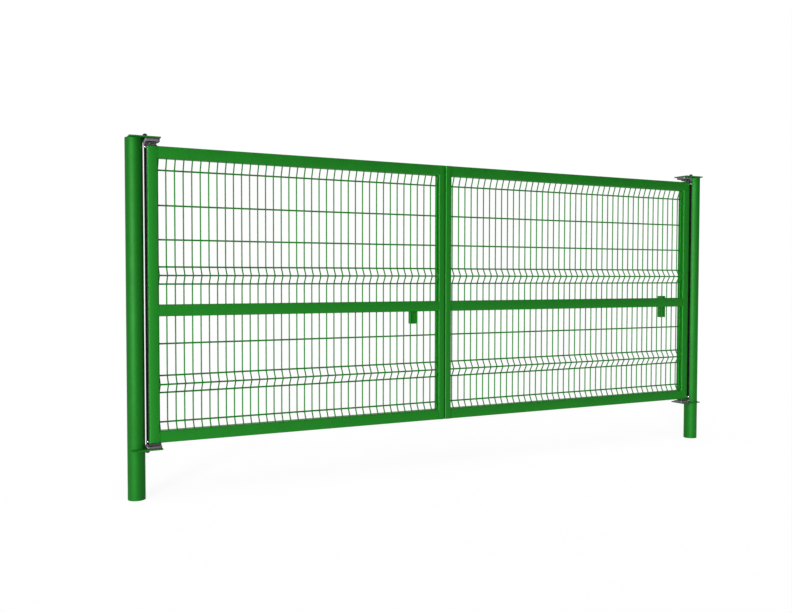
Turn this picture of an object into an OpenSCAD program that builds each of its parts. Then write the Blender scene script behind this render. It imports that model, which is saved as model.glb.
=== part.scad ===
// Double swing gate: two framed leaves of folded welded mesh, hung on round posts
// by full-height pivot rods that stand between hinge plates.
// Millimetres. +X runs along the gate from the left post, +Y to the rear, +Z up.
// The origin is the centre of the left post's foot, at ground level.

/* [Mesh panels] */
// Spacing of the upright wires
wire_pitch = 50; // [45:1:60]
// Upright wires in the left leaf, without the ones laid against its stiles
left_wires = 36; // [12:1:40]
// Upright wires in the right leaf, without the one laid against its hinge stile
right_wires = 42; // [12:1:44]
// Thickness of an upright wire
upright_wire = 8; // [6:0.5:9]
// Thickness of a level wire
level_wire = 10; // [6:0.5:11]
// How far a fold stands out toward the front
fold_depth = 30; // [15:1:34]
// Height from the foot of a fold to its crest
fold_rise = 50; // [40:1:55]

/* [Leaf frames] */
// Height of each leaf
leaf_h = 1712; // [1690:1:1800]
// Gap between the ground and the leaves
ground_gap = 320; // [300:1:360]
// Front-to-back depth of the frame tubes
frame_depth = 60; // [56:1:62]
// Face width of the stile beside each post
hinge_stile_w = 58; // [50:1:70]
// Face width of the stile where the leaves meet
meeting_stile_w = 45; // [40:1:60]
// Face height of the rails
rail_h = 68; // [60:1:70]
// Wall of the frame tubes
tube_wall = 2.5; // [2:0.5:4]
// Outside corner radius of the frame tubes
tube_corner = 5; // [4:0.5:7]
// Running gap between the two leaves
meeting_gap = 7; // [7:1:12]
// Height of the middle rail's underside above the foot of the leaf
middle_rail_z = 734; // [730:1:740]

/* [Posts and hinges] */
// Post diameter
post_d = 100; // [96:1:100]
// Post wall
post_wall = 4; // [3:0.5:6]
// Distance from post axis to hinge stile
post_to_stile = 70; // [70:1:80]
// Diameter of the pivot rod
rod_d = 14; // [12:1:14]
// Distance of the rod in front of the post's axis
rod_forward = 30; // [28:1:36]
// Thickness of the hinge plates
plate_t = 8; // [6:1:12]
// Front-to-back depth of the hinge plates
plate_depth = 132; // [130:1:150]
// Height from the top of the leaf to the upper hinge plate
upper_hinge_h = 40; // [38:1:60]
// Height from the lower hinge plate to the foot of the leaf
lower_hinge_h = 27; // [26:1:60]

/* [Hidden] */

green = [0.14, 0.50, 0.17];
dark_iron = [0.20, 0.19, 0.21];
zinc = [0.78, 0.79, 0.80];
steel = [0.90, 0.90, 0.91];

// Distances from the stiles to the first wire of the even row
left_end_gap = 51;
right_hinge_gap = 40;
right_meeting_gap = 22;
left_bay = (left_wires - 1) * wire_pitch + 2 * left_end_gap;
right_bay = (right_wires - 1) * wire_pitch + right_hinge_gap + right_meeting_gap;
left_leaf_w = hinge_stile_w + left_bay + meeting_stile_w;
right_leaf_w = hinge_stile_w + right_bay + meeting_stile_w;
span = 2 * post_to_stile + left_leaf_w + meeting_gap + right_leaf_w;

leaf_foot = ground_gap;
leaf_top = leaf_foot + leaf_h;
middle_rail_foot = leaf_foot + middle_rail_z;
// Plates that close the ends of the posts and stiles
cap_t = 4;
stile_tube_h = leaf_h - 2 * cap_t;

// Hinge levels
upper_plate_z = leaf_top + upper_hinge_h;
lower_plate_z = leaf_foot - lower_hinge_h - plate_t;
post_h = upper_plate_z;
plate_outer_x = -35;
plate_inner_x = 141;

// Pivot rod and what rides on it
rod_x = post_to_stile - 12;
rod_y = -rod_forward;
running_fit = 0.05;
eye_r = 10;
arm_gap = 5;
upper_arm_t = 18;
lower_arm_t = 12;
nut_h = 11;
nut_across_corners = 25;
washer_t = 2;
rod_tail = 3;
ball_r = 9;
ball_to_top = 10;
ball_to_foot = 13;
upper_bearing_t = upper_hinge_h - upper_arm_t - arm_gap;
lower_bearing_t = lower_hinge_h - lower_arm_t - arm_gap;
collar_gap = 0.3;

$fn = 64;

// ---------- shared shapes ----------

// Rectangle whose corners are true quarter circles
module round_rect(w, h, r) {
    translate([r, 0]) square([w - 2 * r, h]);
    translate([0, r]) square([w, h - 2 * r]);
    for (x = [r, w - r], y = [r, h - r]) translate([x, y]) circle(r);
}

// Wall section of a rounded rectangular tube
module tube_section(w, h) {
    difference() {
        round_rect(w, h, tube_corner);
        translate([tube_wall, tube_wall])
            round_rect(w - 2 * tube_wall, h - 2 * tube_wall, tube_corner - tube_wall + 0.5);
    }
}

// Upright tube whose left face is at x, standing on z
module stile_tube(x, w) {
    translate([x, -frame_depth / 2, leaf_foot + cap_t])
        linear_extrude(stile_tube_h) tube_section(w, frame_depth);
}

// Plates that close both ends of an upright tube
module stile_end_caps(x, w) {
    for (z = [leaf_foot, leaf_top - cap_t])
        translate([x, -frame_depth / 2, z])
            linear_extrude(cap_t) round_rect(w, frame_depth, tube_corner);
}

// Level tube between two stiles, its underside at z
module rail_tube(x, length, z) {
    translate([x, frame_depth / 2, z]) rotate([90, 0, 90])
        linear_extrude(length) translate([-frame_depth, 0]) tube_section(frame_depth, rail_h);
}

// Mirrors a left-hand shape about the middle of the gate
module right_hand() {
    translate([span, 0, 0]) mirror([1, 0, 0]) children();
}

// ---------- folded mesh ----------

// A wire path is a list of [y, z] points. Its normals point to the rear.
function unit(v) = v / norm(v);
function rear_of(a, b) = let (d = unit(b - a)) [d[1], -d[0]];
function first_normal(path, i) = rear_of(path[max(i - 1, 0)], path[max(i, 1)]);
function last_normal(path, i) =
    rear_of(path[min(i, len(path) - 2)], path[min(i + 1, len(path) - 1)]);
function mitre(path, i) =
    let (a = first_normal(path, i), b = last_normal(path, i), m = unit(a + b)) m / (m * a);
// The ends are cut level, flush with the rails
function is_end(path, i) = i == 0 || i == len(path) - 1;
function side_step(path, i) =
    is_end(path, i) ? [1 / first_normal(path, i)[0], 0] : mitre(path, i);
function offset_path(path, d) = [for (i = [0:len(path) - 1]) path[i] + d * side_step(path, i)];
function reversed(list) = [for (i = [len(list) - 1:-1:0]) list[i]];
function wire_outline(path) = concat(
    offset_path(path, -upright_wire / 2), reversed(offset_path(path, upright_wire / 2)));

// Heights above the leaf's foot at which the folds crest, and of the plain level wires
lower_crest = 338;
upper_crest = 970;
lower_edge_wire = 116;
lower_plain_wire = 573;
upper_plain_wires = [1177, 1375];
upper_edge_wire = 1578;
edge_lean = 25;

function fold(z) = [[0, z - fold_rise], [-fold_depth, z], [0, z + fold_rise]];
lower_path = concat(
    [[-edge_lean, rail_h], [0, lower_edge_wire]], fold(lower_crest), [[0, middle_rail_z]]);
upper_path = concat(
    [[0, middle_rail_z + rail_h]], fold(upper_crest),
    [[0, upper_edge_wire], [-edge_lean, leaf_h - rail_h]]);
lower_levels = [1, 2, 3, 4];
upper_levels = [1, 2, 3, 4];

// Centre of the level wire that is welded behind point i of a path
weld_sink = 1;
function level_centre(path, i) =
    path[i] + [upright_wire / 2 + level_wire / 2 - weld_sink, 0];

module level_bar(centre, length) {
    translate([0, centre[0] - level_wire / 2, centre[1] - level_wire / 2])
        cube([length, level_wire, level_wire]);
}

// Centres of the upright wires, measured from the hinge stile: the even row, and wires laid
// against the stiles
function even_row(wires, first) = [for (i = [0:wires - 1]) first + i * wire_pitch];
left_row = concat([upright_wire / 2], even_row(left_wires, left_end_gap),
    [left_bay - upright_wire / 2]);
right_row = concat([upright_wire / 2], even_row(right_wires, right_hinge_gap));

// One panel: uprights bent to the path, level wires at its bends and on its flats
module mesh_panel(x, bay, row, path, bends, flats) {
    translate([x, 0, leaf_foot]) {
        for (centre = row)
            translate([centre - upright_wire / 2, 0, 0]) rotate([90, 0, 90])
                linear_extrude(upright_wire) polygon(wire_outline(path));
        for (i = bends) level_bar(level_centre(path, i), bay);
        for (z = flats) level_bar([upright_wire / 2 + level_wire / 2 - weld_sink, z], bay);
    }
}

// ---------- posts and hinges, drawn for the left post ----------

module post() {
    difference() {
        cylinder(h = post_h, d = post_d);
        translate([0, 0, -1]) cylinder(h = post_h - cap_t + 1, d = post_d - 2 * post_wall);
    }
}

// Bore that the pivot rod runs through, cut from z up through a thickness t
module rod_bore(z, t) {
    translate([rod_x, rod_y, z - 1]) cylinder(h = t + 2, d = rod_d + 2 * running_fit);
}

plate_corner = 4;
module plate_outline() {
    translate([plate_outer_x, -plate_depth / 2])
        round_rect(plate_inner_x - plate_outer_x, plate_depth, plate_corner);
}

module top_hinge_plate() {
    translate([0, 0, upper_plate_z]) difference() {
        linear_extrude(plate_t) plate_outline();
        rod_bore(0, plate_t);
    }
}

module bottom_hinge_plate() {
    translate([0, 0, lower_plate_z]) difference() {
        linear_extrude(plate_t) plate_outline();
        translate([0, 0, -1]) cylinder(h = plate_t + 2, d = post_d);
        rod_bore(0, plate_t);
    }
}

// Block bolted to a hinge plate, with a raised boss that carries the arm
bearing_x = 52;
bearing_depth = 80;
bearing_corner = 12;
boss_root = 1;
module bearing_plate(z, t, boss_z) {
    boss_h = arm_gap - collar_gap + boss_root;
    difference() {
        union() {
            translate([bearing_x, -bearing_depth / 2, z]) linear_extrude(t)
                round_rect(plate_inner_x - bearing_x, bearing_depth, bearing_corner);
            translate([rod_x, rod_y, boss_z]) cylinder(h = boss_h, r = eye_r);
        }
        rod_bore(z - boss_h, t + 2 * boss_h);
    }
}

module top_bearing_plate() {
    z = upper_plate_z - upper_bearing_t;
    bearing_plate(z, upper_bearing_t, z - arm_gap + collar_gap);
}

module bottom_bearing_plate() {
    z = lower_plate_z + plate_t;
    bearing_plate(z, lower_bearing_t, z + lower_bearing_t - boss_root);
}

rod_foot = lower_plate_z - washer_t - nut_h - rod_tail;
rod_head = upper_plate_z + plate_t + washer_t + nut_h + rod_tail;
module pivot_rod() {
    translate([rod_x, rod_y, rod_foot]) cylinder(h = rod_head - rod_foot, d = rod_d);
}

module rod_nut(z) {
    translate([rod_x, rod_y, z]) difference() {
        cylinder(h = nut_h, d = nut_across_corners, $fn = 6);
        translate([0, 0, -1]) cylinder(h = nut_h + 2, d = rod_d);
    }
}

module rod_washer(z) {
    translate([rod_x, rod_y, z]) difference() {
        cylinder(h = washer_t, d = nut_across_corners + 3);
        translate([0, 0, -1]) cylinder(h = washer_t + 2, d = rod_d);
    }
}

module rod_nuts() {
    rod_washer(upper_plate_z + plate_t);
    rod_nut(upper_plate_z + plate_t + washer_t);
    rod_washer(lower_plate_z - washer_t);
    rod_nut(lower_plate_z - washer_t - nut_h);
}

// A ball turned in short bands and bored for the rod
ball_bands = 6;
ball_edge_angle = acos(rod_d / 2 / ball_r) - 1;
module ball_collar(z) {
    band_angle = 2 * ball_edge_angle / ball_bands;
    rim = [for (i = [0:ball_bands]) let (a = i * band_angle - ball_edge_angle)
        ball_r * [cos(a), sin(a)]];
    bore_end = rim[ball_bands][1];
    translate([rod_x, rod_y, z]) rotate_extrude()
        polygon(concat([[rod_d / 2, -bore_end]], rim, [[rod_d / 2, bore_end]]));
}

module ball_collars() {
    ball_collar(leaf_top - ball_to_top);
    ball_collar(leaf_foot + ball_to_foot);
}

// Arms on the ends of the hinge stile, which turn on the pivot rod. Each has an eye round the
// rod and a pad that is seated on the stile's end.
pad_rear = 12;
pad_corner = 6;
top_pad_l = 54;
bottom_pad_l = 66;

// Pad and eye in one outline, joined by a straight web as wide as the eye
module arm_outline(pad_l) {
    translate([rod_x, rod_y]) circle(eye_r);
    translate([rod_x, rod_y - eye_r]) square([post_to_stile - rod_x + pad_corner, 2 * eye_r]);
    translate([post_to_stile, rod_y - eye_r])
        round_rect(pad_l, pad_rear - rod_y + eye_r, pad_corner);
}

// Upper arm: a foot and a head plate held apart by two round columns, with a full-height eye
foot_t = 5;
head_t = 5;
column_r = 9;
column_from_stile = [16, 41];
column_y = rod_y + 2;
module top_bearing_arm() {
    head_z = leaf_top + upper_arm_t - head_t;
    difference() {
        union() {
            translate([0, 0, leaf_top]) linear_extrude(foot_t) arm_outline(top_pad_l);
            translate([0, 0, head_z]) linear_extrude(head_t) arm_outline(top_pad_l);
            translate([rod_x, rod_y, leaf_top]) cylinder(h = upper_arm_t, r = eye_r);
            for (x = column_from_stile) translate([post_to_stile + x, column_y, leaf_top])
                cylinder(h = upper_arm_t, r = column_r);
        }
        rod_bore(leaf_top, upper_arm_t);
    }
}

// Lower arm: one thick plate under the stile
module bottom_bearing_arm() {
    z = leaf_foot - lower_arm_t;
    difference() {
        translate([0, 0, z]) linear_extrude(lower_arm_t) arm_outline(bottom_pad_l);
        rod_bore(z, lower_arm_t);
    }
}

// Short box section fixed behind the middle rail
lug_w = 45;
lug_depth = 40;
lug_wall = 3;
lug_corner = 3;
lug_inner_corner = 1;
left_lug_to_stile = 135;
left_lug_below = 84;
left_lug_h = 145;
right_lug_to_stile = 123;
right_lug_below = 84;
right_lug_h = 167;
module rail_lug(stile_x, to_stile, below, h) {
    translate([stile_x - to_stile - lug_w, frame_depth / 2, middle_rail_foot - below])
        linear_extrude(h) difference() {
        round_rect(lug_w, lug_depth, lug_corner);
        translate([lug_wall, lug_wall])
            round_rect(lug_w - 2 * lug_wall, lug_depth - 2 * lug_wall, lug_inner_corner);
    }
}

// ---------- the named pieces ----------

left_inner_x = post_to_stile + hinge_stile_w;
left_meeting_x = left_inner_x + left_bay;
right_inner_x = left_inner_x;
right_meeting_x = right_inner_x + right_bay;
right_hinge_stile_x = span - post_to_stile - hinge_stile_w;

module left_post() { color(green) post(); }
module right_post() { color(green) right_hand() post(); }
module left_top_hinge_plate() { color(green) top_hinge_plate(); }
module left_bottom_hinge_plate() { color(green) bottom_hinge_plate(); }
module right_top_hinge_plate() { color(green) right_hand() top_hinge_plate(); }
module right_bottom_hinge_plate() { color(green) right_hand() bottom_hinge_plate(); }
module left_top_bearing_plate() { color(dark_iron) top_bearing_plate(); }
module left_bottom_bearing_plate() { color(dark_iron) bottom_bearing_plate(); }
module right_top_bearing_plate() { color(dark_iron) right_hand() top_bearing_plate(); }
module right_bottom_bearing_plate() { color(dark_iron) right_hand() bottom_bearing_plate(); }
module left_pivot_rod() { color(dark_iron) pivot_rod(); }
module right_pivot_rod() { color(dark_iron) right_hand() pivot_rod(); }
module left_ball_collars() { color(steel) ball_collars(); }
module right_ball_collars() { color(steel) right_hand() ball_collars(); }
module left_rod_nuts() { color(zinc) rod_nuts(); }
module right_rod_nuts() { color(zinc) right_hand() rod_nuts(); }

module left_hinge_stile() { color(green) stile_tube(post_to_stile, hinge_stile_w); }
module left_meeting_stile() { color(green) stile_tube(left_meeting_x, meeting_stile_w); }
module left_stile_caps() {
    color(green) {
        stile_end_caps(post_to_stile, hinge_stile_w);
        stile_end_caps(left_meeting_x, meeting_stile_w);
    }
}
module left_top_rail() { color(green) rail_tube(left_inner_x, left_bay, leaf_top - rail_h); }
module left_middle_rail() { color(green) rail_tube(left_inner_x, left_bay, middle_rail_foot); }
module left_bottom_rail() { color(green) rail_tube(left_inner_x, left_bay, leaf_foot); }
module left_upper_mesh() {
    color(green) mesh_panel(left_inner_x, left_bay, left_row,
        upper_path, upper_levels, upper_plain_wires);
}
module left_lower_mesh() {
    color(green) mesh_panel(left_inner_x, left_bay, left_row,
        lower_path, lower_levels, [lower_plain_wire]);
}
module left_rail_lug() {
    color(green) rail_lug(left_meeting_x, left_lug_to_stile, left_lug_below, left_lug_h);
}
module left_top_bearing_arm() { color(dark_iron) top_bearing_arm(); }
module left_bottom_bearing_arm() { color(dark_iron) bottom_bearing_arm(); }

module right_hinge_stile() { color(green) right_hand() stile_tube(post_to_stile, hinge_stile_w); }
module right_meeting_stile() { color(green) right_hand() stile_tube(right_meeting_x, meeting_stile_w); }
module right_stile_caps() {
    color(green) right_hand() {
        stile_end_caps(post_to_stile, hinge_stile_w);
        stile_end_caps(right_meeting_x, meeting_stile_w);
    }
}
module right_top_rail() {
    color(green) right_hand() rail_tube(right_inner_x, right_bay, leaf_top - rail_h);
}
module right_middle_rail() {
    color(green) right_hand() rail_tube(right_inner_x, right_bay, middle_rail_foot);
}
module right_bottom_rail() {
    color(green) right_hand() rail_tube(right_inner_x, right_bay, leaf_foot);
}
module right_upper_mesh() {
    color(green) right_hand() mesh_panel(right_inner_x, right_bay, right_row,
        upper_path, upper_levels, upper_plain_wires);
}
module right_lower_mesh() {
    color(green) right_hand() mesh_panel(right_inner_x, right_bay, right_row,
        lower_path, lower_levels, [lower_plain_wire]);
}
module right_rail_lug() {
    color(green) rail_lug(right_hinge_stile_x, right_lug_to_stile, right_lug_below, right_lug_h);
}
module right_top_bearing_arm() { color(dark_iron) right_hand() top_bearing_arm(); }
module right_bottom_bearing_arm() { color(dark_iron) right_hand() bottom_bearing_arm(); }

left_post();
right_post();
left_top_hinge_plate();
left_bottom_hinge_plate();
right_top_hinge_plate();
right_bottom_hinge_plate();
left_top_bearing_plate();
left_bottom_bearing_plate();
right_top_bearing_plate();
right_bottom_bearing_plate();
left_pivot_rod();
right_pivot_rod();
left_ball_collars();
right_ball_collars();
left_rod_nuts();
right_rod_nuts();
left_hinge_stile();
left_meeting_stile();
left_stile_caps();
left_top_rail();
left_middle_rail();
left_bottom_rail();
left_upper_mesh();
left_lower_mesh();
left_rail_lug();
left_top_bearing_arm();
left_bottom_bearing_arm();
right_hinge_stile();
right_meeting_stile();
right_stile_caps();
right_top_rail();
right_middle_rail();
right_bottom_rail();
right_upper_mesh();
right_lower_mesh();
right_rail_lug();
right_top_bearing_arm();
right_bottom_bearing_arm();
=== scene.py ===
"""Double swing gate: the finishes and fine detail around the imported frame.

Metres, in the frame's own axes: +X runs along the closed gate from the left post to the right
post, +Y to the rear and +Z up. Places come from the frame's nodes. Sizes that the frame doesn't
give stand in the fields of each class.
"""
import logging
import math
from dataclasses import dataclass, field
from enum import Enum
from typing import Any, Mapping, Sequence

import bmesh
import bpy
import numpy as np
from mathutils import Matrix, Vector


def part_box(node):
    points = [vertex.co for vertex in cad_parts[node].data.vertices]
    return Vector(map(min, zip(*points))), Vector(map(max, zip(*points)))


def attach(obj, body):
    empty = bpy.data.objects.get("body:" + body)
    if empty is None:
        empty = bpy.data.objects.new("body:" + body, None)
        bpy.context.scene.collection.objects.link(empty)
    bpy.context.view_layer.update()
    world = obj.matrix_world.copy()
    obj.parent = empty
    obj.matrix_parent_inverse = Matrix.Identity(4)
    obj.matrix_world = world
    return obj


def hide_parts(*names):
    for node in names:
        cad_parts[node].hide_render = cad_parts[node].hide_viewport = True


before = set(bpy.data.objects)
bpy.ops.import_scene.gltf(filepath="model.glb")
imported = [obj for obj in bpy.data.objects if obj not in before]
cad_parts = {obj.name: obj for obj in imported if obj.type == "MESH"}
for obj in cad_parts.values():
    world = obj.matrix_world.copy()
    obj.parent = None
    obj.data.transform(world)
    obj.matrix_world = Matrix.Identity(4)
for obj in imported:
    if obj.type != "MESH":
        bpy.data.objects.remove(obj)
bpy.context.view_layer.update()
LOG = logging.getLogger("gate")
Array = np.ndarray
TURN = 2.0 * math.pi
# In copies of the frame's nodes, points this near (metres) and faces this flat (degrees) are one,
# and an edge this sharp (degrees) is rounded.
MERGE_WITHIN = 1e-6
FLAT_WITHIN = 0.5
EDGE_FROM = 32.0


# ---------------- shading


class Socket:
    """A number that a node gives. Its arithmetic adds Math nodes."""

    def __init__(self, graph: "Graph", output: bpy.types.NodeSocket) -> None:
        """Wraps one output of a node in the graph."""
        self.graph = graph
        self.output = output

    def _math(self, operation: str, first: Any, second: Any) -> "Socket":
        """Adds one Math node.

        Args:
            operation: The node's operation.
            first: Left operand, a number or a Socket.
            second: Right operand, a number or a Socket.

        Returns:
            The result as a Socket.
        """
        return self.graph.add("ShaderNodeMath", {"operation": operation}, {0: first, 1: second})

    def __add__(self, other: Any) -> "Socket":
        """Sum."""
        return self._math("ADD", self, other)

    def __radd__(self, other: Any) -> "Socket":
        """Sum with the operands the other way round."""
        return self._math("ADD", other, self)

    def __sub__(self, other: Any) -> "Socket":
        """Difference."""
        return self._math("SUBTRACT", self, other)

    def __rsub__(self, other: Any) -> "Socket":
        """Difference with the operands the other way round."""
        return self._math("SUBTRACT", other, self)

    def __mul__(self, other: Any) -> "Socket":
        """Product."""
        return self._math("MULTIPLY", self, other)

    def __rmul__(self, other: Any) -> "Socket":
        """Product with the operands the other way round."""
        return self._math("MULTIPLY", other, self)

    def at_least(self, floor: Any) -> "Socket":
        """The larger of this and a floor."""
        return self._math("MAXIMUM", self, floor)

    def at_most(self, ceiling: Any) -> "Socket":
        """The smaller of this and a ceiling."""
        return self._math("MINIMUM", self, ceiling)


class Graph:
    """The node tree of a material or world, emptied and filled again."""

    def __init__(self, owner: bpy.types.Material | bpy.types.World) -> None:
        """Empties the owner's node tree."""
        owner.use_nodes = True
        self.tree = owner.node_tree
        self.tree.nodes.clear()

    def add(
        self,
        kind: str,
        settings: Mapping[str, Any] | None = None,
        sockets: Mapping[str | int, Any] | None = None,
        out: str | int = 0,
    ) -> Socket:
        """Adds a node: its settings first, then the values and links of its sockets.

        Args:
            kind: The node's type.
            settings: Attributes to set.
            sockets: Input by name or number, with a value or a Socket to link.
            out: The output to give back, by name or number.

        Returns:
            The chosen output.
        """
        node = self.tree.nodes.new(kind)
        for key, value in (settings or {}).items():
            setattr(node, key, value)
        for key, value in (sockets or {}).items():
            if isinstance(value, Socket):
                self.tree.links.new(value.output, node.inputs[key])
            else:
                node.inputs[key].default_value = value
        return Socket(self, node.outputs[out])

    def show(self, kind: str, shader: Socket) -> None:
        """Links a shader to a new output node of this kind."""
        output = self.tree.nodes.new(kind)
        self.tree.links.new(shader.output, output.inputs["Surface"])

    def blend(self, factor: Any, first: Any, second: Any) -> Socket:
        """Mix of two colours.

        Args:
            factor: Share of the second colour.
            first: Colour, or a Socket that gives one.
            second: Colour, or a Socket that gives one.

        Returns:
            The mixed colour.
        """
        return self.add(
            "ShaderNodeMix", {"data_type": "RGBA"}, {0: factor, 6: first, 7: second}, out=2
        )

    def noise(self, where: Socket, scale: float, detail: float = 2.0) -> Socket:
        """Smooth noise from 0 to 1 over a position, with so many features a metre."""
        return self.add(
            "ShaderNodeTexNoise",
            sockets={"Vector": where, "Scale": scale, "Detail": detail, "Roughness": 0.55},
        )

    def position(self) -> Socket:
        """The point on the object, in metres, in the object's own axes."""
        return self.add("ShaderNodeTexCoord", out="Object")

    def rays(self) -> tuple[Socket, Socket, Socket]:
        """1 for a ray of its kind and 0 for others: from the camera, off gloss, through glass."""
        camera = self.add("ShaderNodeLightPath", out="Is Camera Ray")
        paths = camera.output.node.outputs
        gloss = Socket(self, paths["Is Glossy Ray"])
        return camera, gloss, Socket(self, paths["Is Transmission Ray"])


def rgba(colour: Sequence[float]) -> tuple[float, float, float, float]:
    """A colour with full alpha."""
    return (colour[0], colour[1], colour[2], 1.0)


@dataclass(frozen=True)
class Finish:
    """A surface finish with colour drift, fine speckle, patchy gloss and a fine relief.

    The colour drifts between main and second over features about 1/drift metres long, and the
    speckle has speck_scale features for each of the grain's. Gloss varies by gloss_drift round
    roughness, in smudges finer than the drift by smudge_scale. The relief is grain_height deep,
    with about grain_scale features a metre, on broader waves of wave_height. A clear coat lies
    over all.
    """

    name: str
    main: tuple[float, float, float]
    second: tuple[float, float, float]
    metallic: float
    roughness: float
    specular: float
    drift: float = 2.5
    drift_share: float = 0.55
    speck: float = 0.12
    speck_scale: float = 0.35
    gloss_drift: float = 0.10
    smudge_scale: float = 5.0
    grain_scale: float = 420.0
    grain_height: float = 0.00004
    wave_scale: float = 60.0
    wave_height: float = 0.00005
    coat: float = 0.0
    coat_roughness: float = 0.50

    def material(self) -> bpy.types.Material:
        """The finish as a material, made once.

        Returns:
            The material of this finish's name.
        """
        known = bpy.data.materials.get(self.name)
        if known is not None:
            return known
        made = bpy.data.materials.new(self.name)
        graph = Graph(made)
        where = graph.position()
        drift = graph.noise(where, self.drift, 3.0)
        speck = graph.noise(where, self.grain_scale * self.speck_scale, 2.0)
        share = (drift * self.drift_share + speck * self.speck).at_most(1.0)
        colour = graph.blend(share, rgba(self.main), rgba(self.second))
        smudge = graph.noise(where, self.drift * self.smudge_scale, 4.0)
        roughness = self.roughness + (smudge - 0.5) * (2.0 * self.gloss_drift)
        relief = (
            graph.noise(where, self.grain_scale, 3.0) * self.grain_height
            + graph.noise(where, self.wave_scale, 1.0) * self.wave_height
        )
        bump = graph.add("ShaderNodeBump", sockets={"Height": relief, "Distance": 1.0})
        shader = graph.add(
            "ShaderNodeBsdfPrincipled",
            sockets={
                "Base Color": colour,
                "Metallic": self.metallic,
                "Roughness": roughness,
                "Specular IOR Level": self.specular,
                "Normal": bump,
                "Coat Weight": self.coat,
                "Coat Roughness": self.coat_roughness,
            },
        )
        graph.show("ShaderNodeOutputMaterial", shader)
        return made


class Coat(Enum):
    """The finishes of this gate."""

    POST = Finish(
        "green_post_coat", (0.009, 0.248, 0.014), (0.006, 0.216, 0.010), 0.85, 0.73, 0.35,
        coat=0.3,
    )
    FRAME = Finish(
        "green_powder_coat", (0.010, 0.304, 0.014), (0.006, 0.265, 0.010), 0.85, 0.58, 0.35,
        coat=0.4,
    )
    WIRE = Finish(
        "green_wire_coat", (0.010, 0.280, 0.015), (0.007, 0.235, 0.011), 0.80, 0.62, 0.3,
        drift=4.0, grain_scale=700.0, grain_height=0.00003, wave_scale=120.0,
    )
    WELD = Finish(
        "green_weld_coat", (0.010, 0.260, 0.014), (0.007, 0.215, 0.010), 0.80, 0.58, 0.3,
        drift=9.0, speck=0.25, grain_scale=900.0, grain_height=0.00006,
    )
    IRON = Finish(
        "charcoal_iron", (0.270, 0.242, 0.284), (0.120, 0.106, 0.128), 0.60, 0.55, 0.5,
        drift=14.0, speck=0.30, grain_scale=800.0, grain_height=0.00007,
    )
    # Bearing arms: the blocks' dark iron made darker still. The extra darkness is painted shade of
    # the slot between arm and plate.
    ARM = Finish(
        "arm_iron_with_painted_slot_shade", (0.100, 0.089, 0.105), (0.024, 0.021, 0.026), 0.55, 0.50, 0.4,
        drift=18.0, speck=0.30, grain_scale=800.0, grain_height=0.00007,
    )
    ROD = Finish(
        "oiled_rod", (0.003, 0.003, 0.003), (0.002, 0.002, 0.002), 0.0, 0.50, 0.05,
        drift=22.0, speck=0.30, grain_scale=900.0, grain_height=0.00003,
    )
    FIXING = Finish(
        "plated_fixing", (0.120, 0.118, 0.125), (0.060, 0.058, 0.064), 0.90, 0.35, 0.5,
        drift=40.0, speck=0.30, grain_scale=1500.0, grain_height=0.00002,
    )
    BRIGHT = Finish(
        "polished_steel", (0.90, 0.90, 0.92), (0.80, 0.80, 0.83), 1.0, 0.14, 0.5,
        drift=60.0, speck=0.10, gloss_drift=0.03, grain_scale=2000.0, grain_height=0.000004,
        wave_height=0.000006,
    )


# ---------------- surfaces


def arc(centre: Sequence[float], radius: float, start: float, end: float, steps: int) -> Array:
    """Points of a circle's arc: centre + radius * (cos a, sin a).

    Args:
        centre: Centre in the plane.
        radius: Radius of the arc.
        start: First angle a, in degrees.
        end: Last angle a, in degrees.
        steps: Number of points.

    Returns:
        Points, (steps, 2).
    """
    angle = np.radians(np.linspace(start, end, steps))
    return np.column_stack((centre[0] + radius * np.cos(angle), centre[1] + radius * np.sin(angle)))


def round_rectangle(width: float, height: float, radius: float, steps: int = 6) -> Array:
    """Outline about the origin, anticlockwise: four quarter circles joined by straight sides."""
    x = width / 2 - radius
    y = height / 2 - radius
    corners = ((x, y, 0), (-x, y, 90), (-x, -y, 180), (x, -y, 270))
    return np.vstack([arc((cx, cy), radius, a, a + 90, steps) for cx, cy, a in corners])


def circle(radius: float, sides: int) -> Array:
    """Regular polygon round the origin, anticlockwise: radius * (cos a, sin a)."""
    return arc((0.0, 0.0), radius, 0.0, 360.0, sides + 1)[:-1]


def bent(corners: Array, radius: float, steps: int = 6) -> Array:
    """A bent line: each inner corner is the parabola between two points on its legs.

    The points lie radius * tan(turn / 2) from the corner, where an arc of that radius would
    leave the legs. With a and c on the legs and b the corner, the curve is
    (1-s)^2 a + 2s(1-s) b + s^2 c.

    Args:
        corners: The line's corners, (n, dimensions).
        radius: Bend radius.
        steps: Points on each bend.

    Returns:
        Points along the bent line.
    """
    legs = np.diff(corners, axis=0)
    legs /= np.linalg.norm(legs, axis=1)[:, None]
    turn = np.arccos(np.clip((legs[:-1] * legs[1:]).sum(1), -1.0, 1.0))
    reach = (radius * np.tan(turn / 2))[:, None]
    inner = corners[1:-1]
    before = (inner - reach * legs[:-1])[:, None]
    after = (inner + reach * legs[1:])[:, None]
    s = np.linspace(0.0, 1.0, steps)[None, :, None]
    curve = (1 - s) ** 2 * before + 2 * s * (1 - s) * inner[:, None] + s**2 * after
    return np.vstack((corners[:1], curve.reshape(-1, corners.shape[1]), corners[-1:]))


def carried(profile: Array, path: Array, across: Any, up: Any, size: Any = 1.0) -> Array:
    """A profile carried along a path: path + size * (u * across + v * up).

    Args:
        profile: Outline as (u, v), (around, 2).
        path: Stations, (stations, 3).
        across: Direction of u, one for all stations or one for each.
        up: Direction of v, one for all stations or one for each.
        size: Scale of the outline, one for all stations or one for each.

    Returns:
        Grid, (stations, around, 3).
    """
    scale = np.broadcast_to(np.asarray(size, float), (len(path),))[:, None, None]
    across = np.broadcast_to(across, path.shape)[:, None]
    up = np.broadcast_to(up, path.shape)[:, None]
    u = profile[None, :, :1]
    v = profile[None, :, 1:]
    return path[:, None] + scale * (u * across + v * up)


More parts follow.
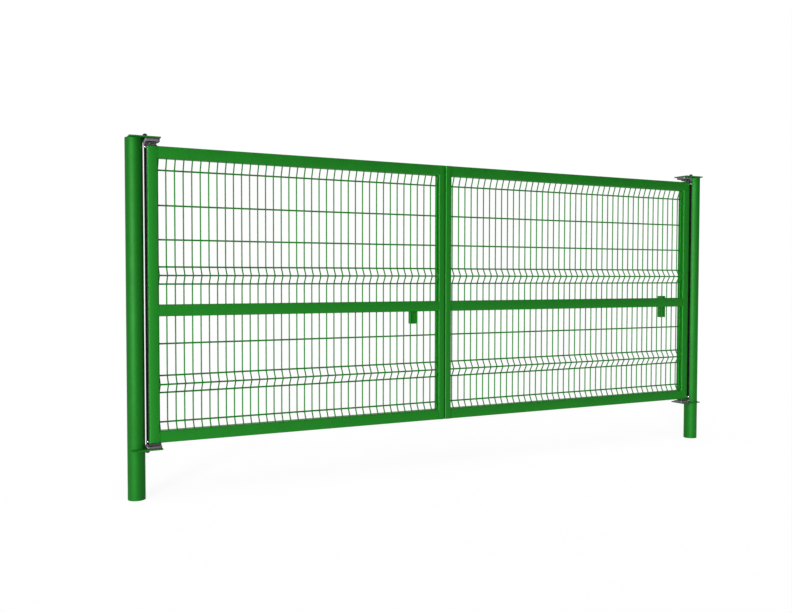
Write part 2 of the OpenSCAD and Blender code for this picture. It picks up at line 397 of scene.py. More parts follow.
def revolved(profile: Array, centre: Sequence[float], sides: int) -> Array:
    """A profile turned about an upright axis: (x + r cos a, y + r sin a, z).

    Args:
        profile: Outline as (r, z), (stations, 2).
        centre: Place (x, y) of the axis.
        sides: Number of angles a.

    Returns:
        Grid, (stations, sides, 3).
    """
    ring = circle(1.0, sides)
    radius = profile[:, None, :1]
    level = np.broadcast_to(profile[:, None, 1:], (len(profile), sides, 1))
    return np.concatenate((np.asarray(centre) + radius * ring[None], level), axis=2)


def hexagon(flat: float, angle: Array) -> Array:
    """Radius of a hexagon at angle a, from half its width over flats: flat / cos(a mod 60 - 30)."""
    return flat / np.cos(angle % math.radians(60) - math.radians(30))


def around(centre: Sequence[float], radius: Array, angle: Array, level: Array) -> Array:
    """A surface round an upright axis: (x + r cos a, y + r sin a, z).

    Args:
        centre: Place (x, y) of the axis.
        radius: Radius r at each station and angle, (stations, sides).
        angle: Angles a, (1, sides).
        level: Heights z, (stations, 1).

    Returns:
        Grid, (stations, sides, 3).
    """
    x = centre[0] + radius * np.cos(angle)
    y = centre[1] + radius * np.sin(angle)
    return np.stack((x, y, np.broadcast_to(level, x.shape)), axis=2)


def ball(
    width: Sequence[float], sides: int = 6, rings: int = 4, last_latitude: float = 1.25
) -> Array:
    """A squashed ball about the origin, as rings from near one pole to near the other.

    The radius at latitude t is cos t and the height sin t, each scaled by half its width.

    Args:
        width: Width along each axis.
        sides: Points in a ring.
        rings: Number of rings.
        last_latitude: Latitude t of the outermost rings, in radians.

    Returns:
        Grid, (rings, sides, 3).
    """
    latitude = np.linspace(-last_latitude, last_latitude, rings)
    ring = circle(1.0, sides)
    flat = np.cos(latitude)[:, None, None] * ring[None]
    height = np.broadcast_to(np.sin(latitude)[:, None, None], (rings, sides, 1))
    return np.concatenate((flat, height), axis=2) * np.asarray(width) / 2


@dataclass
class Shell:
    """The points and faces of one piece, gathered from its surfaces."""

    points: list[Array] = field(default_factory=list)
    faces: list[Array] = field(default_factory=list)
    count: int = 0

    def add(self, grids: Array, ring: bool = False) -> "Shell":
        """Adds closed surfaces. Neighbours along and around a grid are joined by four-sided faces.

        The way round always closes. The way along either closes into a ring or ends in two
        flat caps. Faces are turned outward by the sign of the volume that they enclose.

        Args:
            grids: One grid (stations, around, 3), or several alike (copies, stations, around, 3).
            ring: Whether the way along closes too.

        Returns:
            This shell.
        """
        grids = grids.reshape((-1,) + grids.shape[-3:])
        copies, stations, around, _ = grids.shape
        index = np.arange(copies * stations * around).reshape(copies, stations, around)
        here = index if ring else index[:, :-1]
        ahead = np.roll(index, -1, axis=1) if ring else index[:, 1:]
        quads = np.stack((here, np.roll(here, -1, 2), np.roll(ahead, -1, 2), ahead), -1)
        sheets = [quads.reshape(-1, 4)]
        if not ring:
            sheets += [index[:, 0, ::-1], index[:, -1]]
        points = grids.reshape(-1, 3)
        if self._volume(points, sheets) < 0:
            sheets = [sheet[:, ::-1] for sheet in sheets]
        self.points.append(points)
        self.faces += [sheet + self.count for sheet in sheets]
        self.count += len(points)
        return self

    @staticmethod
    def _volume(points: Array, sheets: Sequence[Array]) -> float:
        """Volume inside the faces: the sum of a . (b x c) / 6 over fans of triangles."""
        total = 0.0
        middle = points.mean(0)
        for sheet in sheets:
            corner = points[sheet] - middle
            first = corner[:, :1]
            total += (first * np.cross(corner[:, 1:-1], corner[:, 2:])).sum() / 6.0
        return float(total)

    def mesh(self, name: str, sharp: float) -> bpy.types.Mesh:
        """The shell as a mesh, smooth but for edges sharper than an angle.

        Args:
            name: Name of the mesh.
            sharp: Angle in degrees from which an edge stays sharp.

        Returns:
            The mesh.
        """
        made = bpy.data.meshes.new(name)
        points = np.vstack(self.points).astype(np.float32)
        corners = np.concatenate([sheet.ravel() for sheet in self.faces]).astype(np.int32)
        sizes = np.concatenate([np.full(len(sheet), sheet.shape[1]) for sheet in self.faces])
        starts = np.concatenate(([0], np.cumsum(sizes)[:-1])).astype(np.int32)
        made.vertices.add(len(points))
        made.vertices.foreach_set("co", points.ravel())
        made.loops.add(len(corners))
        made.loops.foreach_set("vertex_index", corners)
        made.polygons.add(len(sizes))
        made.polygons.foreach_set("loop_start", starts)
        made.update(calc_edges=True)
        made.shade_smooth()
        made.set_sharp_from_angle(angle=math.radians(sharp))
        return made

    def piece(
        self,
        name: str,
        body: str,
        coat: Coat,
        slot: str,
        replaces: Sequence[str] = (),
        sharp: float = 38.0,
    ) -> None:
        """Makes the shell an object of the scene.

        Args:
            name: Name of the piece.
            body: Body that it moves with.
            coat: Its finish.
            slot: Not used.
            replaces: Nodes that it stands for.
            sharp: Angle in degrees from which an edge stays sharp.
        """
        made = bpy.data.objects.new(name, self.mesh(name, sharp))
        dress(made, body, coat, replaces)


def dress(
    piece: bpy.types.Object, body: str, coat: Coat, replaces: Sequence[str] = ()
) -> None:
    """Puts a piece in the scene with its body and finish, and reports it.

    Args:
        piece: An object that isn't linked yet.
        body: Body that it moves with.
        coat: Its finish.
        replaces: Nodes that it stands for.
    """
    bpy.context.scene.collection.objects.link(piece)
    piece.data.materials.clear()
    piece.data.materials.append(coat.value.material())
    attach(piece, body)
    if replaces:
        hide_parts(*replaces)
    LOG.info("%-32s %7d faces on %s", piece.name, len(piece.data.polygons), body)


def soften(node: str, body: str, coat: Coat, width: float = 0.0008) -> None:
    """A node's own shape, merged and with its edges rounded, in place of the node.

    Args:
        node: Name of the node.
        body: Body that it belongs to.
        coat: Its finish.
        width: Width of the rounding.
    """
    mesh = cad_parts[node].data.copy()
    for name in [a.name for a in mesh.attributes if a.name == "custom_normal"]:
        mesh.attributes.remove(mesh.attributes[name])
    shape = bmesh.new()
    shape.from_mesh(mesh)
    bmesh.ops.remove_doubles(shape, verts=shape.verts, dist=MERGE_WITHIN)
    bmesh.ops.dissolve_limit(
        shape, angle_limit=math.radians(FLAT_WITHIN), verts=shape.verts, edges=shape.edges
    )
    shape.to_mesh(mesh)
    shape.free()
    mesh.shade_smooth()
    piece = bpy.data.objects.new(f"{node}_finished", mesh)
    rounding = piece.modifiers.new("edge_rounding", "BEVEL")
    rounding.width = width
    rounding.segments = 2
    rounding.limit_method = "ANGLE"
    rounding.angle_limit = math.radians(EDGE_FROM)
    rounding.use_clamp_overlap = True
    evened = piece.modifiers.new("even_shading", "WEIGHTED_NORMAL")
    evened.keep_sharp = True
    dress(piece, body, coat, [node])


def weld_bead(
    path: Array,
    across: Any,
    up: Any,
    radius: float,
    flat: float = 1.0,
    ripple: float = 0.0022,
    dip: float = 0.12,
    sides: int = 8,
) -> Array:
    """A weld bead: a round section carried along the seam, its size swelling with each ripple.

    The size at distance s along the seam is 1 - dip * (s / ripple mod 1)^2, which gives the
    overlapped scales of a weld, and falls to half at both ends.

    Args:
        path: The seam, (stations, 3), with at least two stations a ripple.
        across: Direction across the seam.
        up: Direction out of the seam.
        radius: Radius of the section.
        flat: Height of the section over its width.
        ripple: Length of one ripple.
        dip: Share of the size that a ripple loses.
        sides: Points round the section.

    Returns:
        Grid of the bead.
    """
    steps = np.linalg.norm(np.diff(path, axis=0), axis=1)
    along = np.concatenate(([0.0], np.cumsum(steps)))
    ends = np.minimum(along, along[-1] - along) / (2 * radius)
    size = (1 - dip * (along / ripple % 1.0) ** 2) * np.clip(0.5 + ends, 0.5, 1.0)
    section = circle(radius, sides) * (1.0, flat)
    return carried(section, path, across, up, size)


# ---------------- the gate's parts


class Side(Enum):
    """The two halves of the gate."""

    LEFT = "left"
    RIGHT = "right"

    @property
    def inward(self) -> float:
        """Sign of X from this side's post toward the leaves."""
        return 1.0 if self is Side.LEFT else -1.0

    def node(self, part: str) -> str:
        """Name of this side's node for a part."""
        return f"{self.value}_{part}"

    def box(self, part: str) -> tuple[Array, Array]:
        """Lowest and highest corner of this side's part."""
        low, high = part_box(self.node(part))
        return np.array(low), np.array(high)


# The record's material slots, and the body that stays put.
PAINT = "green_paint"
WIRE = "green_wire"
IRON = "dark_iron"
FIXING = "dark_fixing"
STEEL = "polished_steel"
POSTS = "posts"


@dataclass
class Post:
    """A round post: a hollow tube with a welded top, and its beads where the plates meet it.

    A bead's middle stands off the plate by bead_rise and off the post by bead_out, in shares of
    the bead's radius, and it ends bead_reach degrees from the plate's middle. The hub is a small
    hole in the top, under the plate.
    """

    side: Side
    wall: float = 0.004
    top: float = 0.004
    edge: float = 0.0015
    seam_depth: float = 0.0003
    seam_reach: float = 0.0012
    hub: float = 0.001
    sides: int = 96
    bead: float = 0.0032
    bead_rise: float = 0.3
    bead_out: float = 0.1
    bead_reach: float = 128.0
    bead_stations: int = 520

    def __post_init__(self) -> None:
        """Takes the post's axis, radius and height from the frame."""
        low, high = self.side.box("post")
        self.radius = (high[1] - low[1]) / 2
        self.centre = ((low[0] + high[0]) / 2, (low[1] + high[1]) / 2)
        self.height = high[2]

    def tube(self) -> Array:
        """Closed section turned about the axis: outside, rounded top, inside, and open foot.

        Returns:
            Grid of the whole wall, whose way along closes.
        """
        r, t, e = self.radius, self.wall, self.edge
        groove = self.height - self.top
        rim = arc((r - e, self.height - e), e, 0, 90, 5)
        lower_corner = arc((r - e, e), e, -90, 0, 4)
        reach = self.seam_reach
        seam = np.array([(r, groove - reach), (r - self.seam_depth, groove), (r, groove + reach)])
        inside = np.array(
            [(self.hub, self.height), (self.hub, groove), (r - t, groove), (r - t, 0.0)]
        )
        profile = np.vstack((lower_corner, seam, rim, inside))
        return revolved(profile, self.centre, self.sides)

    def ring(self, level: float, up: float) -> Array:
        """Fillet bead round the post at a plate's face.

        Args:
            level: Height of the face.
            up: +1 on top of a plate, -1 below one.

        Returns:
            Grid of the bead.
        """
        reach = math.radians(self.bead_reach)
        angle = np.linspace(-reach, reach, self.bead_stations)
        outward = np.column_stack(
            (self.side.inward * np.cos(angle), np.sin(angle), np.zeros_like(angle))
        )
        centre = np.array((*self.centre, level + up * self.bead_rise * self.bead))
        seam = centre + outward * (self.radius + self.bead_out * self.bead)
        return weld_bead(seam, outward, (0, 0, up), self.bead)

    def build(self) -> None:
        """Makes the tube and the beads."""
        name = self.side.node("post")
        tube = Shell().add(self.tube(), ring=True)
        tube.piece(f"{name}_tube", POSTS, Coat.POST, PAINT, [name], sharp=50)
        top_low, _ = self.side.box("top_hinge_plate")
        low, high = self.side.box("bottom_hinge_plate")
        beads = Shell()
        beads.add(self.ring(top_low[2], -1.0))
        beads.add(self.ring(low[2], -1.0))
        beads.add(self.ring(high[2], 1.0))
        beads.piece(f"{name}_weld_beads", POSTS, Coat.WELD, PAINT)


@dataclass
class PivotRod:
    """The long rod of one leaf, with its nuts, washers and ball collars.

    At the rod's ends and the nuts' faces the radius grows by a slope times the distance in.
    """

    side: Side
    pitch: float = 0.002
    pitch_stations: int = 6
    thread_depth: float = 0.0006
    thread_length: float = 0.015
    chamfer: float = 0.0015
    chamfer_slope: float = 0.8
    nut_height: float = 0.011
    nut_corners: float = 0.0125
    nut_sides: int = 72
    nut_rise: tuple[float, ...] = (0.0, 0.0004, 0.0009, 0.0016, 0.0024)
    nut_face: float = 0.96
    nut_slope: float = 1.7
    washer_radius: float = 0.014
    washer_height: float = 0.002
    washer_edge: float = 0.0005
    collar_fit: float = 0.99
    sides: int = 48

    def __post_init__(self) -> None:
        """Takes the rod's axis, radius and ends from the frame."""
        low, high = self.side.box("pivot_rod")
        self.radius = (high[0] - low[0]) / 2
        self.centre = ((low[0] + high[0]) / 2, (low[1] + high[1]) / 2)
        self.foot, self.head = low[2], high[2]

    def rod(self) -> Array:
        """Rod with a thread at each end.

        The radius at height z and angle a is r - depth * |2 * (z / pitch - a / turn mod 1) - 1|
        on the threads and r between them, and the two ends are chamfered.

        Returns:
            Grid of the rod.
        """
        step = self.pitch / self.pitch_stations
        foot = np.arange(self.foot, self.foot + self.thread_length, step)
        head = np.arange(self.head - self.thread_length, self.head, step)
        plain = np.linspace(foot[-1] + step, head[0] - step, 4)
        level = np.concatenate((foot, plain, head, [self.head]))[:, None]
        angle = np.linspace(0.0, TURN, self.sides, endpoint=False)[None]
        from_end = np.minimum(level - self.foot, self.head - level)
        fade = np.clip((self.thread_length - from_end) / self.pitch, 0.0, 1.0)
        tooth = np.abs(2 * ((level / self.pitch - angle / TURN) % 1.0) - 1)
        radius = self.radius - self.thread_depth * tooth * fade
        radius = np.minimum(radius, self.radius - self.chamfer + self.chamfer_slope * from_end)
        return around(self.centre, radius, angle, level)

    def nut(self, foot: float) -> Array:
        """Hexagonal nut with chamfered corners.

        The radius is the smaller of the hexagon's and the cone's, which leaves the corners free
        at both faces.

        Args:
            foot: Height of the nut's lower face.

        Returns:
            Grid of the nut.
        """
        flat = self.nut_corners * math.cos(math.radians(30))
        rise = np.array(self.nut_rise)
        level = np.concatenate((rise, self.nut_height - rise[::-1]))[:, None]
        angle = np.linspace(0.0, TURN, self.nut_sides, endpoint=False)[None]
        from_face = np.minimum(level, self.nut_height - level)
        cone = flat * self.nut_face + from_face * self.nut_slope
        radius = np.minimum(hexagon(flat, angle), cone)
        return around(self.centre, radius, angle, foot + level)

    def washer(self, foot: float) -> Array:
        """Flat washer with rounded rims: an outline turned about the rod."""
        e = self.washer_edge
        top = foot + self.washer_height
        profile = np.vstack(
            (
                arc((self.washer_radius - e, foot + e), e, -90, 0, 4),
                arc((self.washer_radius - e, top - e), e, 0, 90, 4),
            )
        )
        return revolved(profile, self.centre, self.sides)

    def collar(self, level: float, radius: float) -> Array:
        """Ball collar: an arc of a circle turned about the rod, cut off just inside the rod."""
        cut = math.degrees(math.acos(self.radius * self.collar_fit / radius))
        profile = arc((0.0, level), radius, -cut, cut, 17)
        return revolved(profile, self.centre, self.sides)

    def build(self) -> None:
        """Makes the rod, its fixings and its ball collars."""
        name = self.side.node("pivot_rod")
        rod = Shell().add(self.rod())
        rod.piece(f"{name}_threaded", POSTS, Coat.ROD, IRON, [name], sharp=60)
        nuts = self.side.node("rod_nuts")
        fixings = Shell()
        low, high = self.side.box("rod_nuts")
        fixings.add(self.nut(low[2]))
        fixings.add(self.washer(low[2] + self.nut_height))
        fixings.add(self.washer(high[2] - self.nut_height - self.washer_height))
        fixings.add(self.nut(high[2] - self.nut_height))
        fixings.piece(f"{nuts}_hexagonal", POSTS, Coat.FIXING, FIXING, [nuts], sharp=25)
        collars = self.side.node("ball_collars")
        balls = Shell()
        low, high = self.side.box("ball_collars")
        radius = (high[0] - low[0]) / 2
        half = math.sqrt(radius**2 - self.radius**2)
        balls.add(self.collar(low[2] + half, radius))
        balls.add(self.collar(high[2] - half, radius))
        balls.piece(f"{collars}_polished", POSTS, Coat.BRIGHT, STEEL, [collars], sharp=60)


@dataclass
class Hinges:
    """Plates, bearing blocks and arms of one leaf's two hinges, and their screws.

    The outline of a screw's head, from its foot over the crown into the socket, is given in
    shares of the head's radius: crown is how far out it stands and rise how high.
    """

    side: Side
    plate_edge: float = 0.0012
    head: float = 0.005
    crown: tuple[float, ...] = (1.0, 1.0, 0.88, 0.60)
    rise: tuple[float, ...] = (-0.10, 0.24, 0.44, 0.52, 0.52, 0.24)
    from_tip: tuple[float, ...] = (0.019, 0.056)
    apart: float = 0.044
    sides: int = 24

    def screw(self, place: Sequence[float], out: float) -> Array:
        """Low round head with a hexagonal socket, on a plate's face.

        The outline is turned about the screw's axis, and the socket is a hexagon.

        Args:
            place: Centre of the head on the face.
            out: +1 for a head that stands up, -1 for one that hangs down.

        Returns:
            Grid of the head.
        """
        angle = np.linspace(0.0, TURN, self.sides, endpoint=False)[None]
        socket = hexagon(self.head / 3, angle)
        crown = np.array(self.crown)[:, None] * np.ones_like(angle)
        radius = np.vstack((self.head * crown, socket, socket))
        rise = self.head * np.array(self.rise)[:, None]
        return around(place, radius, angle, place[2] + out * rise)

    def build(self) -> None:
        """Rounds the edges of the plates, blocks and arms, and sets the screws."""
        leaf = self.side.node("leaf")
        screws = Shell()
        for end, out in (("top", 1.0), ("bottom", -1.0)):
            low, high = self.side.box(f"{end}_hinge_plate")
            tip = high[0] if self.side is Side.LEFT else low[0]
            face = high[2] if out > 0 else low[2]
            for x in self.from_tip:
                for y in (-self.apart / 2, self.apart / 2):
                    screws.add(self.screw((tip - self.side.inward * x, y, face), out))
            plate = self.side.node(f"{end}_hinge_plate")
            soften(plate, POSTS, Coat.POST, self.plate_edge)
            soften(self.side.node(f"{end}_bearing_plate"), POSTS, Coat.IRON)
            # The arms' darker iron is painted shade of the slot between arm and plate.
            soften(self.side.node(f"{end}_bearing_arm"), leaf, Coat.ARM)
        screws.piece(f"{self.side.node('plate')}_screws", POSTS, Coat.FIXING, FIXING, sharp=30)


@dataclass
class LeafFrame:
    """Welded tube frame of one leaf, with its end caps, weld beads and rail lug."""

    side: Side
    corner: float = 0.005
    cap_edge: float = 0.001
    bead: float = 0.0028
    bead_reach: float = 0.018
    bead_stations: int = 66
    seam_width: float = 0.0035
    seam_flat: float = 0.12
    seam_stations: int = 90

    def tube(self, part: str, axis: int) -> Array:
        """Rounded rectangular tube as long as its node.

        Args:
            part: Node's name without the side.
            axis: 0 for a level rail, 2 for an upright stile.

        Returns:
            Grid of the outer surface.
        """
        low, high = self.side.box(part)
        middle = (low + high) / 2
        size = high - low
        path = np.repeat(middle[None], 2, axis=0)
        path[:, axis] = (low[axis], high[axis])
        other = 2 - axis
        section = round_rectangle(size[1], size[other], self.corner)
        return carried(section, path, np.eye(3)[1], np.eye(3)[other])

    def joint_beads(self, rail: str) -> list[Array]:
        """Beads where a rail meets its two stiles, above and below the rail.

        Args:
            rail: Node's name without the side.

        Returns:
            Grids of the beads.
        """
        low, high = self.side.box(rail)
        y = np.linspace(-self.bead_reach, self.bead_reach, self.bead_stations)
        grids = []
        for x, inner in ((low[0], 1.0), (high[0], -1.0)):
            for z, up in ((low[2], -1.0), (high[2], 1.0)):
                seam = np.column_stack((np.full_like(y, x), y, np.full_like(y, z)))
                grids.append(weld_bead(seam, (inner, 0, 0), (0, 0, up), self.bead))
        return grids

    def flat_seams(self, rail: str) -> list[Array]:
        """Seams ground flush on the front and rear faces of a rail's two ends."""
        low, high = self.side.box(rail)
        z = np.linspace(low[2] + self.corner, high[2] - self.corner, self.seam_stations)
        return [
            weld_bead(
                np.column_stack((np.full_like(z, x), np.full_like(z, y), z)),
                (1, 0, 0), (0, face, 0), self.seam_width, flat=self.seam_flat,
            )
            for x in (low[0], high[0])
            for y, face in ((low[1], -1.0), (high[1], 1.0))
        ]

    def lug_beads(self) -> list[Array]:
        """Beads along both sides of the lug where it sits on the middle rail."""
        low, high = self.side.box("rail_lug")
        rail_low, rail_high = self.side.box("middle_rail")
        foot = rail_low[2] + self.corner
        head = min(rail_high[2], high[2]) - self.corner
        z = np.linspace(foot, head, self.seam_stations)
        return [
            weld_bead(
                np.column_stack((np.full_like(z, x), np.full_like(z, rail_high[1]), z)),
                (out, 0, 0), (0, 1, 0), self.bead,
            )
            for x, out in ((low[0], -1.0), (high[0], 1.0))
        ]

    def build(self) -> None:
        """Makes the tubes, caps, beads and lug."""
        leaf = self.side.node("leaf")
        rails = ("top_rail", "middle_rail", "bottom_rail")
        for part in ("hinge_stile", "meeting_stile", *rails):
            name = self.side.node(part)
            shell = Shell().add(self.tube(part, 0 if part in rails else 2))
            shell.piece(f"{name}_tube", leaf, Coat.FRAME, PAINT, [name], sharp=50)
        beads = Shell()
        for rail in rails:
            for grid in self.joint_beads(rail) + self.flat_seams(rail):
                beads.add(grid)
        for grid in self.lug_beads():
            beads.add(grid)
        beads.piece(f"{leaf}_weld_beads", leaf, Coat.WELD, PAINT)
        for part in ("stile_caps", "rail_lug"):
            soften(self.side.node(part), leaf, Coat.FRAME, self.cap_edge)


@dataclass
class MeshPanel:
    """One panel of folded welded mesh: round uprights, level wires and their welds.

    The uprights run in the panel's plane, fold out to the front at the crest, and lean to the
    front from an edge wire to the rail at the leaf's outer end. Heights are above the panel's
    foot. The nugget's size is in shares of the wires' diameters.
    """

    side: Side
    part: str
    crest: float
    edge: float
    plain: tuple[float, ...]
    lean_at_top: bool
    wires: int
    first: float
    at_low_stile: bool
    at_high_stile: bool = True
    pitch: float = 0.050
    upright: float = 0.008
    level: float = 0.010
    fold_depth: float = 0.030
    fold_rise: float = 0.050
    lean: float = 0.025
    sink: float = 0.001
    bend: float = 0.009
    sides: int = 10
    level_stations: int = 80
    drift: tuple[float, float] = (0.0003, 0.0002)
    nugget: tuple[float, float, float] = (1.4, 0.8, 1.25)
    end_blob: tuple[float, float, float] = (0.0095, 0.0075, 0.0050)

    def __post_init__(self) -> None:
        """Takes the panel's bay from the frame and lays out its wires."""
        low, high = self.low, self.high = self.side.box(self.part)
        even_row = low[0] + self.first + self.pitch * np.arange(self.wires)
        against = (low[0] + self.upright / 2, high[0] - self.upright / 2)
        laid = [x for x, used in zip(against, (self.at_low_stile, self.at_high_stile)) if used]
        self.columns = np.sort(np.append(even_row, laid))
        foot = low[2]
        fold = [
            (0.0, foot + self.crest - self.fold_rise),
            (-self.fold_depth, foot + self.crest),
            (0.0, foot + self.crest + self.fold_rise),
        ]
        edge = (0.0, foot + self.edge)
        if self.lean_at_top:
            self.corners = np.array([(0.0, foot), *fold, edge, (-self.lean, high[2])])
        else:
            self.corners = np.array([(-self.lean, foot), edge, *fold, (0.0, high[2])])
        self.behind = (self.upright + self.level) / 2 - self.sink
        bends = self.corners[1:-1] + (self.behind, 0.0)
        flats = np.array([(self.behind, foot + z) for z in self.plain])
        self.levels = np.vstack((bends, flats))

    def uprights(self) -> Array:
        """Round section carried along the bent line, once for each column.

        Returns:
            Grids, (wires, stations, sides, 3).
        """
        line = bent(self.corners, self.bend)
        path = np.column_stack((np.zeros(len(line)), line))
        along = np.gradient(path, axis=0)
        along /= np.linalg.norm(along, axis=1)[:, None]
        across = np.array((1.0, 0.0, 0.0))
        up = np.cross(along, across)
        one = carried(circle(self.upright / 2, self.sides), path, across, up)
        shift = np.column_stack((self.columns, np.zeros((len(self.columns), 2))))
        return one[None] + shift[:, None, None]

    def level_wires(self) -> Array:
        """Round wires from stile to stile, straight but for a slight drift up and down.

        At x the drift of wire n is a sin(3.1 x + 1.7 n) + b sin(7.3 x + 2.9 n).

        Returns:
            Grids, (levels, stations, sides, 3).
        """
        x = np.linspace(self.low[0], self.high[0], self.level_stations)
        number = np.arange(len(self.levels))[:, None]
        a, b = self.drift
        drift = a * np.sin(3.1 * x + 1.7 * number) + b * np.sin(7.3 * x + 2.9 * number)
        ring = circle(self.level / 2, self.sides)
        z = self.levels[:, None, None, 1:] + drift[:, :, None, None] + ring[None, None, :, 1:]
        y = np.broadcast_to(self.levels[:, None, None, :1] + ring[None, None, :, :1], z.shape)
        across = np.broadcast_to(x[None, :, None, None], z.shape)
        return np.concatenate((across, y, z), axis=3)

    def nuggets(self) -> Array:
        """Flattened weld nuggets where every level wire crosses every upright.

        Returns:
            Grids, (crossings, rings, sides, 3).
        """
        across, row = np.meshgrid(self.columns, np.arange(len(self.levels)), indexing="ij")
        contact = self.levels[row.ravel()] - (self.level / 2 - self.sink / 2, 0.0)
        place = np.column_stack((across.ravel(), contact))
        one = ball(np.array(self.nugget) * (self.upright, self.upright, self.level))
        return one[None] + place[:, None, None]

    def end_welds(self) -> Array:
        """Blobs where the wires end on the frame: uprights on the rails, levels on the stiles.

        Returns:
            Grids, (ends, rings, sides, 3).
        """
        y_foot, y_head = self.corners[0, 0], self.corners[-1, 0]
        column = self.columns[:, None]
        ones = np.ones_like(column)
        feet = np.hstack((column, y_foot * ones, self.low[2] * ones))
        heads = np.hstack((column, y_head * ones, self.high[2] * ones))
        end = np.ones((len(self.levels), 1))
        left = np.hstack((self.low[0] * end, self.levels))
        right = np.hstack((self.high[0] * end, self.levels))
        place = np.vstack((feet, heads, left, right))
        one = ball(self.end_blob, sides=8, rings=5)
        return one[None] + place[:, None, None]

    def build(self) -> None:
        """Makes the wires and the welds as two pieces."""
        leaf = self.side.node("leaf")
        name = self.side.node(self.part)
        wires = Shell().add(self.uprights()).add(self.level_wires())
        wires.piece(f"{name}_wires", leaf, Coat.WIRE, WIRE, [name], sharp=60)
        welds = Shell().add(self.nuggets()).add(self.end_welds())
        welds.piece(f"{name}_welds", leaf, Coat.WELD, WIRE, sharp=80)


# ---------------- studio


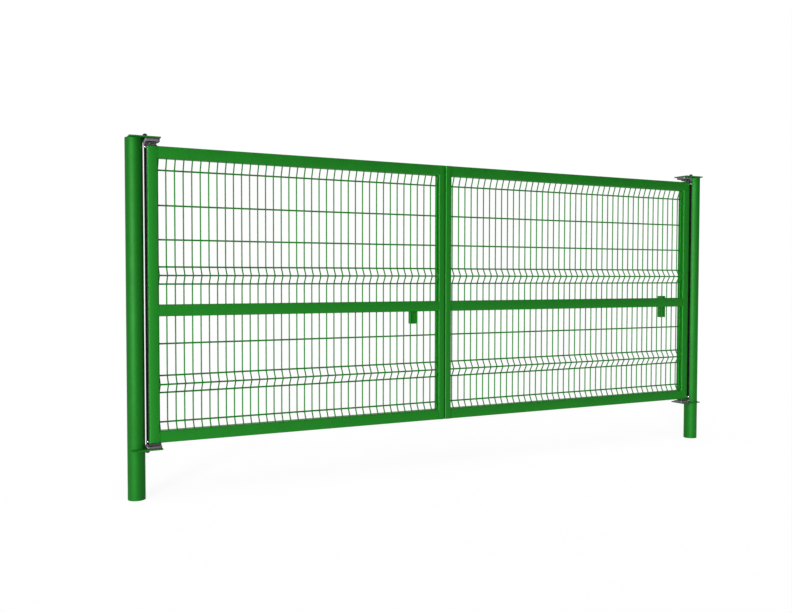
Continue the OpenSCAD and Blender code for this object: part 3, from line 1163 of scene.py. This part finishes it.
@dataclass
class Studio:
    """Floor, light and camera round the closed gate.

    In gloss the world is white at the rear and fades to front_gloss: its strength there is
    rear_slope times the direction's Y, less rear_start.
    """

    eye: tuple[float, float, float] = (-0.8594, -5.0392, 1.2845)
    turn_right: float = 26.671
    tilt_down: float = 1.989
    roll: float = 0.087
    lens: float = 38.84
    key_turn: float = 38.5
    key_height: float = 6.0
    key_spread: float = 12.0
    key_strength: float = 3.0
    top_height: float = 68.0
    top_spread: float = 60.0
    top_strength: float = 0.8
    ambient: float = 0.15
    front_gloss: float = 0.06
    rear_slope: float = 1.2
    rear_start: float = 0.2
    floor_colour: float = 0.80
    floor_mottle: float = 0.03
    mottle_scale: float = 0.8
    floor_shade: float = 0.25
    floor_gloss: float = 0.4
    floor_size: float = 400.0

    def camera(self) -> None:
        """Camera turned to the right from +Y, tilted down and rolled a little."""
        data = bpy.data.cameras.new("studio_camera")
        data.sensor_width = 36.0
        data.lens = self.lens
        data.clip_end = 1000.0
        camera = bpy.data.objects.new("studio_camera", data)
        bpy.context.scene.collection.objects.link(camera)
        turn = Matrix.Rotation(math.radians(-self.turn_right), 4, "Z")
        tilt = Matrix.Rotation(math.radians(90.0 - self.tilt_down), 4, "X")
        roll = Matrix.Rotation(math.radians(self.roll), 4, "Z")
        camera.matrix_world = Matrix.Translation(self.eye) @ turn @ tilt @ roll
        bpy.context.scene.camera = camera

    def lamp(self, name: str, height: float, spread: float, strength: float) -> None:
        """A soft light from far off to the front left.

        Args:
            name: Name of the lamp.
            height: Degrees above the horizon.
            spread: Degrees across as the gate sees it.
            strength: Light on a surface that faces it.
        """
        data = bpy.data.lights.new(name, "SUN")
        data.energy = strength
        data.angle = math.radians(spread)
        lamp = bpy.data.objects.new(name, data)
        bpy.context.scene.collection.objects.link(lamp)
        lamp.rotation_euler = (math.radians(90.0 - height), 0.0, math.radians(-self.key_turn))

    def surroundings(self) -> None:
        """White to the camera. Gloss sees white behind the gate that falls off to the front."""
        world = bpy.data.worlds.new("studio")
        bpy.context.scene.world = world
        graph = Graph(world)
        camera, gloss, through = graph.rays()
        direction = graph.add("ShaderNodeTexCoord", out="Generated")
        rear = graph.add("ShaderNodeSeparateXYZ", sockets={0: direction}, out="Y")
        behind = rear * self.rear_slope - self.rear_start
        behind = behind.at_least(self.front_gloss).at_most(1.0)
        seen = (camera + through).at_most(1.0)
        white = (seen + gloss * behind).at_most(1.0)
        strength = (white + (1.0 - (seen + gloss).at_most(1.0)) * self.ambient).at_most(1.0)
        sky = graph.add(
            "ShaderNodeBackground", sockets={"Color": (1, 1, 1, 1), "Strength": strength}
        )
        graph.show("ShaderNodeOutputWorld", sky)

    def floor(self) -> None:
        """Pale floor at ground level, and white where it is seen, but for a light shadow.

        The seen floor glows by what its own lit colour lacks of white.
        """
        made = bpy.data.materials.new("pale_floor")
        graph = Graph(made)
        where = graph.position()
        mottle = graph.noise(where, self.mottle_scale, 3.0) * self.floor_mottle
        camera, gloss, through = graph.rays()
        rays = (camera + gloss * self.floor_gloss + through).at_most(1.0)
        shade = rays * self.floor_shade + (1.0 - rays) * self.floor_colour
        colour = graph.add("ShaderNodeCombineXYZ", sockets={axis: shade - mottle for axis in "XYZ"})
        key = self.key_strength * math.sin(math.radians(self.key_height))
        top = self.top_strength * math.sin(math.radians(self.top_height))
        lit = (key + top) / math.pi + self.ambient
        glow = rays * (1.0 - self.floor_shade * lit)
        shader = graph.add(
            "ShaderNodeBsdfPrincipled",
            sockets={"Base Color": colour, "Roughness": 0.9, "Specular IOR Level": 0.1},
        )
        light = graph.add("ShaderNodeEmission", sockets={"Color": (1, 1, 1, 1), "Strength": glow})
        both = graph.add("ShaderNodeAddShader", sockets={0: shader, 1: light})
        graph.show("ShaderNodeOutputMaterial", both)
        half = self.floor_size / 2
        corners = [(-half, -half, 0), (half, -half, 0), (half, half, 0), (-half, half, 0)]
        mesh = bpy.data.meshes.new("floor")
        mesh.from_pydata(corners, [], [(0, 1, 2, 3)])
        mesh.materials.append(made)
        floor = bpy.data.objects.new("floor", mesh)
        bpy.context.scene.collection.objects.link(floor)

    def build(self) -> None:
        """Sets up the view, light and floor."""
        scene = bpy.context.scene
        scene.view_settings.view_transform = "Standard"
        self.camera()
        self.lamp("key_light", self.key_height, self.key_spread, self.key_strength)
        self.lamp("top_light", self.top_height, self.top_spread, self.top_strength)
        self.surroundings()
        self.floor()
        LOG.info("studio: camera at %s, key light of %.2f", self.eye, self.key_strength)


def panels() -> list[MeshPanel]:
    """The four mesh panels, two to a leaf."""
    rows = {
        Side.LEFT: dict(wires=36, first=0.051, at_low_stile=True),
        Side.RIGHT: dict(wires=42, first=0.022, at_low_stile=False),
    }
    upper = dict(part="upper_mesh", crest=0.168, edge=0.776, plain=(0.375, 0.573), lean_at_top=True)
    lower = dict(part="lower_mesh", crest=0.270, edge=0.048, plain=(0.505,), lean_at_top=False)
    return [MeshPanel(side=side, **kind, **rows[side]) for side in Side for kind in (upper, lower)]


def main() -> None:
    """Builds the studio and the gate's parts in order."""
    logging.basicConfig(level=logging.INFO, format="%(message)s")
    Studio().build()
    for side in Side:
        Post(side).build()
        Hinges(side).build()
        PivotRod(side).build()
        LeafFrame(side).build()
    for panel in panels():
        panel.build()
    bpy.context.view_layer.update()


if __name__ == "__main__":
    main()
